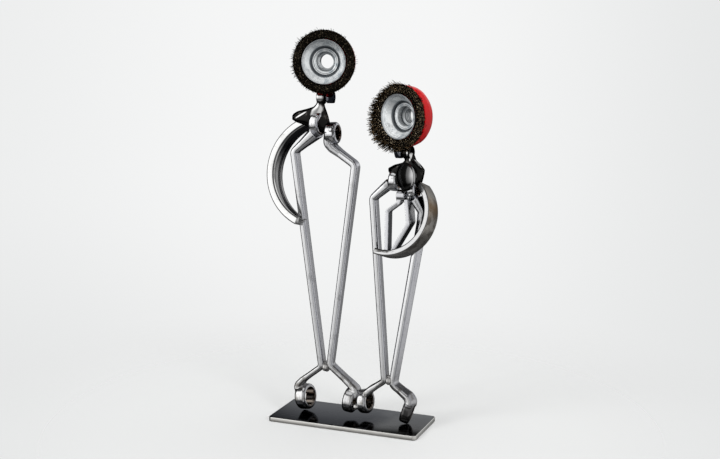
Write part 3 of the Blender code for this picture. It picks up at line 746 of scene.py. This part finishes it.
smallYoke = {
    "node": "small_shoulder_yoke", "neck": (0.0632, 0, 0.2968), "yaw": -6, "nutSide": -1,
    "levels": ((-0.002, 0.0034, 0.006, 0.0046), (-0.008, 0.0036, 0.0084, 0.0052),
        (-0.0106, 0.006, 0.0116, 0.006), (-0.0134, 0.0158, 0.0148, 0.0068), (-0.0172, 0.0226, 0.018, 0.0076),
        (-0.0212, 0.0222, 0.0176, 0.0078), (-0.0262, 0.016, 0.0164, 0.0074),
        (-0.0305, 0.0104, 0.0152, 0.0066), (-0.0345, 0.007, 0.0104, 0.005)),
    # painted highlights on the neck and the right lobe
    "ground": (((0.0672, -0.006, 0.2931), 80, (0.0036, 0.006, 0.0009)), ((0.064, -0.006, 0.295), 90,
        (0.003, 0.006, 0.0006)), ((0.0745, -0.006, 0.286), -45, (0.0045, 0.008, 0.0004)))}


def makeYoke(name, look):
    turn = Matrix.Translation(Vector(look["neck"])) @ Matrix.Rotation(radians(look["yaw"]), 4, "Z")
    bpy.ops.mesh.primitive_plane_add(size=2)
    body = newest("body")
    startEdit(body)
    selectAll()
    bpy.ops.mesh.bevel(offset=yokeShape["rounding"], segments=8, profile=0.55, affect="VERTICES")
    height, left, right, deep = look["levels"][0]
    here, width = Vector(((right - left) / 2, 0, height)), (right + left) / 2
    resize((width, deep, 1))
    bpy.ops.transform.translate(value=here)
    for height, left, right, nextDeep in look["levels"][1:]:
        there, nextWidth = Vector(((right - left) / 2, 0, height)), (right + left) / 2
        extrude(there - here)
        resize((nextWidth / width, nextDeep / deep, 1), there)
        here, width, deep = there, nextWidth, nextDeep
    endEdit(outwards=True)
    boss = disc("boss", yokeShape["bossRadius"], yokeShape["bossHalf"], yokeShape["bossEdge"],
                frameAt((0, 0, 0), (1, 0, 0)))
    yoke = place(fused(name, [body, boss], yokeShape["voxel"], yokeShape["rounds"]), turn)
    dress(yoke, blackForging(name + "Black", blackLook, look["ground"]), "dark_forging", look["node"])


makeYoke("tallYoke", tallYoke)
makeYoke("smallYoke", smallYoke)

neckNut = {
    "flats": 0.0124, "length": 0.0072, "start": 0.0064, "screw": 0.004, "screwFrom": 0.0048,
    "screwPast": 0.0012, "pitch": 0.0008, "thread": 0.0004, "highlightAt": 0.0082,
    "dark": (0.012, 0.015, 0.024), "light": (0.05, 0.055, 0.07), "worn": (0.24, 0.24, 0.26), "rough": 0.12,
    # ground is the colour of the nut's painted highlight
    "ground": (0.5, 0.52, 0.58), "edgeTint": (0.2, 0.2, 0.22, 1)}


def makeNeckScrew(figure, yoke):
    axis = Matrix.Rotation(radians(yoke["yaw"]), 3, "Z") @ Vector((yoke["nutSide"], 0, 0))
    matrix = frameAt(yoke["neck"], axis)
    half = neckNut["length"] / 2
    middle = neckNut["start"] + half
    corner = neckNut["flats"] / sqrt(3)
    nut = hexagon(figure + "NeckNut", neckNut["flats"], neckNut["length"], middle)
    place(nut, nut.matrix_world.copy())
    dome = toAxis([(corner * 0.9, middle - half), (corner * 1.02, middle - half * 0.72),
                   (corner * 1.02, middle + half * 0.72), (corner * 0.9, middle + half)])
    cut(nut, turned("dome", dome, Matrix.Identity(4), steps=48), "INTERSECT", "EXACT")
    cut(nut, disc("bore", neckNut["screw"] + 0.0003, neckNut["length"], 0.0001,
                  Matrix.Translation((0, 0, middle)), 32), solver="EXACT")
    softened(nut, 0.00025, 25)
    place(nut, matrix)
    # a painted highlight on the front of the nut
    rubbed = matrix @ Vector((0, 0, neckNut["highlightAt"])) + Vector((0, -0.0065, 0))
    black = blackForging(figure + "NutBlack", neckNut, ((tuple(rubbed), 0, (0.0015, 0.005, 0.003)),))
    dress(nut, black, "dark_nut", figure + "_neck_nut", angle=30)
    radius, pitch, height = neckNut["screw"], neckNut["pitch"], neckNut["screwFrom"]
    loop = []
    while height + pitch < neckNut["start"] + neckNut["length"] + neckNut["screwPast"]:
        loop += [(radius - neckNut["thread"], height), (radius, height + pitch * 0.5)]
        height += pitch
    screw = turned(figure + "NeckScrew", toAxis(loop + [(radius - 0.0007, height)]), matrix, steps=40)
    dress(screw, blackForging(figure + "ScrewBlack", neckNut), "dark_nut", figure + "_neck_screw", angle=25)


makeNeckScrew("tall", tallYoke)
makeNeckScrew("small", smallYoke)

# the heads are wire cup brushes, and their loops are (radius, height) with the open face at the top
headShape = {
    "cup": ((0.0309, -0.007), (0.0309, -0.009), (0.0303, -0.015), (0.0294, -0.019), (0.027, -0.0226),
        (0.024, -0.0236), (0.0116, -0.0246)), "cupWall": -0.0012,
    "mat": ((0.024, -0.0022), (0.0285, -0.0014), (0.0328, -0.0022), (0.0329, -0.004), (0.0316, -0.0064),
        (0.0291, -0.0064), (0.0279, -0.0172), (0.0239, -0.0182)),
    "dish": ((0.0233, -0.0014), (0.0223, -0.0022), (0.0212, -0.005), (0.0172, -0.01), (0.0164, -0.0108),
        (0.016, -0.014), (0.0115, -0.0148)), "dishWall": 0.001,
    "hub": ((0.0136, -0.0117), (0.0136, -0.0138), (0.0111, -0.0138), (0.0111, -0.029)),
    "hubBore": ((0.0122, -0.011), (0.0104, -0.0126), (0.0098, -0.0186), (0.0074, -0.0196), (0.0074, -0.031)),
    "hexFlats": 0.0238, "hexFrom": -0.0249, "hexTo": -0.0296}

tallHead = {
    "figure": "tall", "centre": (-0.0253, -0.0151, 0.3885), "facing": 13.5, "splay": 0.0008,
    "leanLeft": 0.0012, "leanFrom": -20, "wires": 1900, "seed": 4, "shine": 0.28, "stray": 0.003,
    "spread": 0.0094, "crowd": 0, "bulge": 0}
smallHead = {
    "figure": "small", "centre": (0.0552, -0.014, 0.334), "facing": -23, "splay": 0.001,
    "leanLeft": 0.0112, "leanFrom": 26, "wires": 2700, "seed": 9, "shine": 1, "stray": 0.0045,
    "spread": 0.0102, "crowd": 0.22, "bulge": 0.0045}

bandLook = {"each": 16, "middle": 84, "between": 3.75, "half": 1.88, "fade": 5.6, "outside": 0.03}
redLook = {"deep": (0.36, 0.002, 0.004), "red": (0.52, 0.004, 0.006), "chip": (0.1, 0.04, 0.04),
           "rough": 0.22}
zincLook = {"dark": (0.48, 0.53, 0.56), "light": (0.96, 0.98, 0.98), "stain": (0.24, 0.25, 0.26),
            # groove is the colour of the painted shade rings
            "groove": (0.05, 0.06, 0.07), "rough": 0.2}
wireLook = {
    "length": 0.0182, "thin": 0.00016, "thick": 0.00022, "joints": 5, "crimp": 0.00035, "root": 0.0242,
    "rootSpread": 0.0034, "rootHeight": -0.0178, "tip": 0.0238, "dark": (0.006, 0.005, 0.004),
    "gold": (0.55, 0.38, 0.21), "dust": (0.1, 0.07, 0.045), "glint": (0.85, 0.7, 0.48)}


def shellLoop(face, wall):   # adds the wall on the side towards the axis, or away from it if negative
    points = [Vector((a, b, 0)) for a, b in face]
    off = []
    for i, point in enumerate(points):
        along = points[min(i + 1, len(points) - 1)] - points[max(i - 1, 0)]
        off.append(point + Vector((along.y, -along.x, 0)).normalized() * wall)
    return [(p.x, p.y) for p in points + off[::-1]]


def wirePaint(name, shine):   # shine is how much bare metal colour and painted glints show on the strands
    paint = Paint(name, metallic=0.9, Specular_Tint=(0.3, 0.3, 0.3, 1))
    here = paint.place()
    tint = paint.node("ShaderNodeAttribute", {"attribute_name": "strand"}, {}, "Fac")
    fine = paint.noise(here, 900, 2)
    patch = paint.noise(here, 110, 4)
    tone = paint.layers(wireLook["dark"], (paint.step(tint, 0.3, 0.9) * shine, wireLook["gold"]),
                        (paint.step(fine * 0.8 + patch * 0.2, 0.54, 0.6) * 0.5 * shine, wireLook["dust"]),
                        # painted glints: bright specks
                        (paint.step(fine, 0.62, 0.67) * 0.9 * shine, wireLook["glint"]))
    return paint.finish(tone, 0.26 + patch * 0.2, fine, 0.8, 0.0005)


def oneWire(rng, radius):   # a crimped strand, root at the origin, standing along +Z
    bpy.ops.mesh.primitive_circle_add(vertices=3, radius=radius, fill_type="NGON")
    wire = newest("wire")
    startEdit(wire, "FACE")
    for i in range(wireLook["joints"]):
        shove = wireLook["crimp"] * (1 if i % 2 else -1)
        extrude((shove + rng.uniform(-0.0002, 0.0002), rng.uniform(-0.0003, 0.0003),
                 wireLook["length"] / wireLook["joints"]))
    endEdit(outwards=True)
    return wire


def makeWires(name, look, matrix):
    rng = random.Random(look["seed"])
    patterns = [oneWire(rng, rng.uniform(wireLook["thin"], wireLook["thick"])) for _ in range(6)]
    bundle = bmesh.new()
    strand = bundle.verts.layers.float.new("strand")
    for i in range(look["wires"]):
        angle = rng.uniform(0, 2 * pi)
        if rng.random() < look["crowd"]:
            angle = radians(rng.gauss(look["leanFrom"] + 85, 30))
        share = sqrt(rng.uniform(0, 1))
        left = max(0, sin(angle - radians(look["leanFrom"]))) ** 2
        stray = look["stray"] * rng.random() ** 10
        root = Vector((wireLook["root"] + wireLook["rootSpread"] * share, 0, wireLook["rootHeight"]))
        tip = Vector((wireLook["tip"] + look["spread"] * share + look["splay"] * rng.gauss(0, 0.5)
                      + left * look["leanLeft"] * (0.5 + 0.5 * rng.random()) * share + stray,
                      rng.gauss(0, 0.0008 + 0.25 * left * look["leanLeft"]), rng.uniform(-0.0012, 0.0004)))
        lean = frameAt(root, tip - root, (rng.uniform(-1, 1), rng.uniform(-1, 1), 0.01))
        stretch = Matrix.Diagonal((1, 1, (tip - root).length / wireLook["length"], 1))
        copy = patterns[i % len(patterns)].data.copy()
        copy.transform(matrix @ Matrix.Rotation(angle, 4, "Z") @ lean @ stretch)
        before = len(bundle.verts)
        bundle.from_mesh(copy)
        bundle.verts.ensure_lookup_table()
        tone = rng.random() ** 2
        for vert in bundle.verts[before:]:
            vert[strand] = tone
        bpy.data.meshes.remove(copy)
    mesh = bpy.data.meshes.new(name)
    bundle.to_mesh(mesh)
    bundle.free()
    wires = bpy.data.objects.new(name, mesh)
    bpy.context.scene.collection.objects.link(wires)
    for pattern in patterns:
        bpy.data.objects.remove(pattern)
    return wires


def pushOut(mat, look, matrix):   # pushes the mat out, band by band, where the wires splay
    home = matrix.inverted()
    narrow = cos(radians(bandLook["half"]))
    startEdit(mat)
    for i in range(-bandLook["each"], bandLook["each"] + 1):
        angle = radians(look["leanFrom"] + bandLook["middle"] + i * bandLook["between"])
        outwards = Vector((cos(angle), sin(angle), 0))

        def inBand(vert):
            local = home @ vert.co
            radius = hypot(local.x, local.y)
            return radius > bandLook["outside"] and local.dot(outwards) > radius * narrow

        pick(mat, "VERT", inBand)
        push = look["bulge"] * cos(radians(i * bandLook["fade"])) ** 2
        bpy.ops.transform.translate(value=matrix.to_3x3() @ outwards * push)
    endEdit()


def redPaint(name, centre, turn):
    paint = Paint(name, metallic=0, Coat_Weight=0.15, Coat_Roughness=0.08, Specular_IOR_Level=0.12)
    here = paint.place(centre, turn)
    peel = paint.noise(here, 260, 2)
    nearRim = paint.step(paint.parts(here)[2], -0.0088, -0.0074)
    chips = paint.step(paint.noise(here, 420, 3) + nearRim * 0.12, 0.72, 0.78)
    tone = paint.layers(redLook["deep"], (paint.noise(here, 45, 4), redLook["red"]),
                        (chips, redLook["chip"]))
    rough = redLook["rough"] + peel * 0.1 + chips * 0.3
    return paint.finish(tone, rough, peel * 0.5 - chips * 0.6, 0.22, 0.0002)


def makeHead(look):
    figure = look["figure"]
    matrix = frameAt(look["centre"], forwards(look["facing"]))
    turn = tuple(matrix.to_euler())
    cup = turned(figure + "Cup", fillet(shellLoop(headShape["cup"], headShape["cupWall"]), 0.0005), matrix)
    dress(cup, redPaint(figure + "RedPaint", look["centre"], turn), "red_paint", figure + "_head_cup")

    wire = wirePaint(figure + "Wire", look["shine"])
    mat = turned(figure + "WireMat", fillet(headShape["mat"], 0.0012), matrix)
    if look["bulge"]:
        pushOut(mat, look, matrix)
    wires = joined(figure + "WireCrown", [makeWires(figure + "Wires", look, matrix), mat])
    dress(wires, wire, "wire", figure + "_head_wires")

    zinc = turnedZinc(figure + "Zinc", look["centre"], turn, zincLook)
    bowl = shellLoop(headShape["dish"], headShape["dishWall"])
    dish = turned(figure + "Dish", fillet(bowl, 0.0006), matrix)
    dress(dish, zinc, "zinc", figure + "_head_inner_cup")

    hub = turned(figure + "Hub", toAxis(headShape["hub"]), Matrix.Identity(4))
    high, low = headShape["hexFrom"], headShape["hexTo"]
    cut(hub, hexagon("hex", headShape["hexFlats"], high - low, (high + low) / 2), "UNION", "EXACT")
    cut(hub, turned("bore", toAxis(headShape["hubBore"]), Matrix.Identity(4)), solver="EXACT")
    softened(hub, 0.0003, 30)
    place(hub, matrix)
    dress(hub, zinc, "zinc", figure + "_head_arbor_nut", angle=30)
    print(figure, "head done")


makeHead(tallHead)
makeHead(smallHead)

chestButton = {
    "centre": (0.0655, -0.0185, 0.2738), "facing": -32, "edgeTint": (0.2, 0.2, 0.2, 1),
    "dark": grey(0.09), "steel": grey(0.42), "steelWorn": grey(0.52),
    "loop": ((0, 0.0031), (0.0036, 0.0029), (0.0072, 0.0023), (0.01, 0.0015), (0.0124, 0.0005),
        (0.0139, -0.0003), (0.0146, -0.0002), (0.0147, -0.0012), (0.0144, -0.0024), (0.0136, -0.0032),
        (0.0124, -0.0034), (0.0052, -0.0034), (0.0048, -0.004), (0.0048, -0.012), (0, -0.012))}


def makeButton(look):
    matrix = frameAt(look["centre"], forwards(look["facing"]))
    button = turned("chestButton", look["loop"], matrix)
    paint = Paint("buttonBlack", Specular_Tint=look["edgeTint"])
    here = paint.place(look["centre"], tuple(matrix.to_euler()))
    brushed = paint.noise(paint.stretched(here, (60, 1500, 60)), 1, 3)
    x, y, z = paint.parts(here)
    tone = paint.layers(look["steel"], (paint.noise(here, 120, 4), look["steelWorn"]),
                        (paint.step(y, -0.013, -0.007), look["dark"]))   # painted shade, darker towards its left
    black = paint.finish(tone, 0.07 + brushed * 0.04, brushed, 0.2, 0.0001)
    dress(button, black, "dark_forging", "small_chest_button")


makeButton(chestButton)

# the inner bars' sides are painted in deep shade
innerLook = {**steelLook, "front": (0.56, 0.56, 0.57), "side": grey(0.05), "sideWorn": grey(0.13)}
innerForging = {"halfThick": 0.0021, "corner": 0.0005, "turn": 0, "bend": 0.004, "stops": 0.01,
                "voxel": 0.0004, "rounds": 4}
leftInnerBar = {
    "node": "small_inner_left_bar", "litAbove": 0.24, "halfDeep": 0.0058,
    "path": ((0.0575, -0.005, 0.25), (0.056, -0.0055, 0.2448), (0.0448, -0.008, 0.2362),
        (0.0471, -0.0165, 0.1925)),
    "eye": {"at": (0.0581, -0.005, 0.252), "radius": 0.0066, "half": 0.0046, "bore": 0.0036, "tilt": 0,
        "yaw": 0}}
rightInnerBar = {"node": "small_inner_right_bar", "litAbove": 0.225, "halfDeep": 0.0095,
                 "path": ((0.066, -0.006, 0.25), (0.0698, -0.01, 0.225), (0.0522, -0.0172, 0.1925))}


def makeInnerBar(name, look):
    eye = look.get("eye")
    bodies = [bentBar({**innerForging, **look})]
    if eye:
        bodies.append(disc("eye", eye["radius"], eye["half"], 0.001, ringPlace(eye)))
    bar = fused(name, bodies, innerForging["voxel"], innerForging["rounds"])
    if eye:
        cut(bar, disc("bore", eye["bore"], 0.008, 0.0002, ringPlace(eye), 32))
    steel = polishedSteel(name.replace("Bar", "Steel"), innerLook, litAbove=look["litAbove"])
    dress(bar, steel, "ground_steel", look["node"], angle=30)


makeInnerBar("leftInnerBar", leftInnerBar)
makeInnerBar("rightInnerBar", rightInnerBar)

welds = {
    "tallAnkleWeld": {"node": "tall_ankle_weld", "beads": 5, "seed": 3},
    "smallAnkleWeld": {"node": "small_ankle_weld", "beads": 5, "seed": 5},
    "feetWeld": {"node": "feet_weld", "beads": 4, "seed": 8}}
weldLook = {"voxel": 0.0004, "rounds": 3, "dull": (0.46, 0.45, 0.44), "bright": (0.78, 0.77, 0.75),
            "soot": (0.07, 0.065, 0.06)}


def makeWeld(name, look):
    rng = random.Random(look["seed"])
    low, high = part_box(look["node"])
    centre, half = (low + high) / 2, (high - low) / 2
    bodies = [ball(centre, half * 0.9)]
    for i in range(look["beads"]):
        t = (i + 0.5) / look["beads"] * 2 - 1
        at = centre + Vector((rng.uniform(-0.12, 0.12) * half.x, t * half.y * 0.72,
                              rng.uniform(-0.1, 0.1) * half.z))
        width = sqrt(max(0.1, 1 - t * t * 0.7))
        bodies.append(ball(at, (half.x * 0.94 * width, half.y * 0.3, half.z * 0.96 * width)))
    lump = fused(name, bodies, weldLook["voxel"], weldLook["rounds"])
    paint = Paint(name + "Metal")
    here = paint.place()
    cloud = paint.noise(here, 130, 5)
    spatter = paint.patches(here, 420, 3, 0.55, 0.66)
    soot = paint.patches(here, 75, 5, 0.5, 0.62)
    tone = paint.layers(weldLook["dull"], (cloud, weldLook["bright"]), (soot * 0.45, weldLook["soot"]))
    metal = paint.finish(tone, 0.26 + cloud * 0.15 + soot * 0.2, cloud * 0.7 + spatter * 0.3, 0.6, 0.0005)
    dress(lump, metal, "weld_metal", look["node"])


for name, look in welds.items():
    makeWeld(name, look)

# the room's lights are (degrees to the right of the front, brightness there)
studio = {
    "floor": (0.565, 0.57, 0.57), "floorGrain": (0.585, 0.59, 0.585), "fadeFrom": 0.1, "fadeTo": 0.55,
    "opacity": 0.75, "backdropLow": (0.81, 0.815, 0.815), "backdropHigh": (0.92, 0.925, 0.925),
    "backdropShadeTone": (0.77, 0.78, 0.78), "back": 0.72, "top": 0.9, "ground": 0.2,
    "softbox": ((-180, 0.03), (-100, 0.03), (-66, 0.04), (-62, 0.8), (-57, 1), (-50, 0.8),
        (-34, 0.85), (-26, 0.78), (-10, 0.7), (-4, 0.2), (4, 0)),
    "sides": ((-8, 0), (-2, 0.1), (6, 0.3), (14, 0.6), (60, 0.76), (130, 0.7), (150, 0.48),
        (162, 0.34), (171, 0.08), (180, 0.03))}
cameraLook = {"spot": (0.4479, -1.1058, 0.4177), "azimuth": 21.63, "pitch": 9.77, "lens": 57, "sensor": 36}


def makeFloor(look):
    bpy.ops.mesh.primitive_circle_add(vertices=64, radius=2, fill_type="NGON")
    floor = newest("floor")
    paint = Paint("floorPaper", metallic=0, Specular_IOR_Level=0.1)
    here = paint.place()
    x, y, z = paint.parts(here)
    radius = (x * x + y * y) ** 0.5
    grain = paint.noise(here, 400, 3)
    paint.finish(paint.blend(grain, look["floor"], look["floorGrain"]), 0.7, grain, 0.05, 0.0002)
    paint.set(Alpha=(1 - paint.step(radius, look["fadeFrom"], look["fadeTo"])) * look["opacity"])
    floor.data.materials.append(paint.material)
    floor.visible_glossy = False


def makeRoom(look):
    world = bpy.data.worlds.new("studioRoom")
    bpy.context.scene.world = world
    world.use_nodes = True
    room = Paint.__new__(Paint)
    room.tree = world.node_tree
    room.tree.nodes.clear()
    x, y, z = room.parts(room.node("ShaderNodeTexCoord", out="Generated"))
    around = room.maths("ARCTAN2", x, 0 - y) * (180 / pi)   # degrees to the right of the front

    def window(low, high, soft):
        return room.band(z, low - soft, low + soft, high - soft, high + soft)

    def profile(stops):   # brightness all the way round
        stops = [((at + 180) / 360, tone) for at, tone in stops]
        return room.node("ShaderNodeValToRGB", {"stops": stops}, {0: (around + 180) / 360})

    climb = room.maths("MINIMUM", room.maths("MAXIMUM", 1.6 + z * 2.7, 0.4), 1.6)   # brighter higher up
    sideLight = profile(look["sides"]) * window(-0.5, 0.7, 0.1)
    frontLight = profile(look["softbox"]) * climb * window(-0.43, 0.74, 0.06)
    backLight = room.step(abs(around), 146, 156) * window(0.04, 0.45, 0.05) * look["back"]
    glow = frontLight + sideLight + backLight + room.step(z, 0.8, 0.92) * look["top"] \
        + room.step(0 - z, 0.45, 0.75) * look["ground"]
    backdrop = room.blend(room.step(z, -0.44, -0.1), look["backdropLow"], look["backdropHigh"])
    # painted shade: the backdrop darker towards the sides of the view and the lower back corner
    corners = room.step(0 - around, 160, 180) * 0.9 + room.step(around, -155, -138) * 0.5 \
        + room.step(around, -162, -145) * room.step(0 - z, 0.12, 0.4) * 0.5
    backdrop = room.blend(corners, backdrop, look["backdropShadeTone"])
    light = room.node("ShaderNodeCombineColor", {}, {0: glow, 1: glow, 2: glow})
    seen = room.node("ShaderNodeLightPath", out="Is Camera Ray")
    sky = room.node("ShaderNodeBackground", {}, {"Color": room.blend(seen, light, backdrop)})
    room.node("ShaderNodeOutputWorld", {}, {"Surface": sky})


def makeLamp(name, spot, aim, wide, tall, power):
    bpy.ops.object.light_add(type="AREA", location=spot)
    lamp = bpy.context.active_object
    lamp.name = name
    lamp.data.shape = "RECTANGLE"
    lamp.data.size, lamp.data.size_y = wide, tall
    lamp.data.energy = power
    lamp.rotation_euler = (Vector(aim) - Vector(spot)).to_track_quat("-Z", "Y").to_euler()
    lamp.visible_camera = False
    lamp.visible_glossy = False


def makeCamera(look):
    azimuth, pitch = radians(look["azimuth"]), radians(look["pitch"])
    ahead = Vector((-sin(azimuth) * cos(pitch), cos(azimuth) * cos(pitch), -sin(pitch)))
    bpy.ops.object.camera_add(location=look["spot"])
    camera = bpy.context.active_object
    camera.rotation_euler = ahead.to_track_quat("-Z", "Y").to_euler()
    camera.data.sensor_width = look["sensor"]
    camera.data.lens = look["lens"]
    camera.data.clip_start = 0.05
    camera.data.clip_end = 50
    bpy.context.scene.camera = camera


makeFloor(studio)
makeRoom(studio)
makeLamp("keySoftbox", (-1, -1.2, 1.15), (0, 0, 0.25), 0.6, 0.5, 17)
makeLamp("fillSoftbox", (1.4, -0.9, 1), (0, 0, 0.25), 0.4, 0.4, 12)
makeLamp("topSoftbox", (0.1, 0.3, 1.9), (0, 0, 0.1), 1.6, 1.6, 26)
makeCamera(cameraLook)
scene = bpy.context.scene
scene.view_settings.view_transform = "Standard"
scene.view_settings.look = "None"
print("studio done")
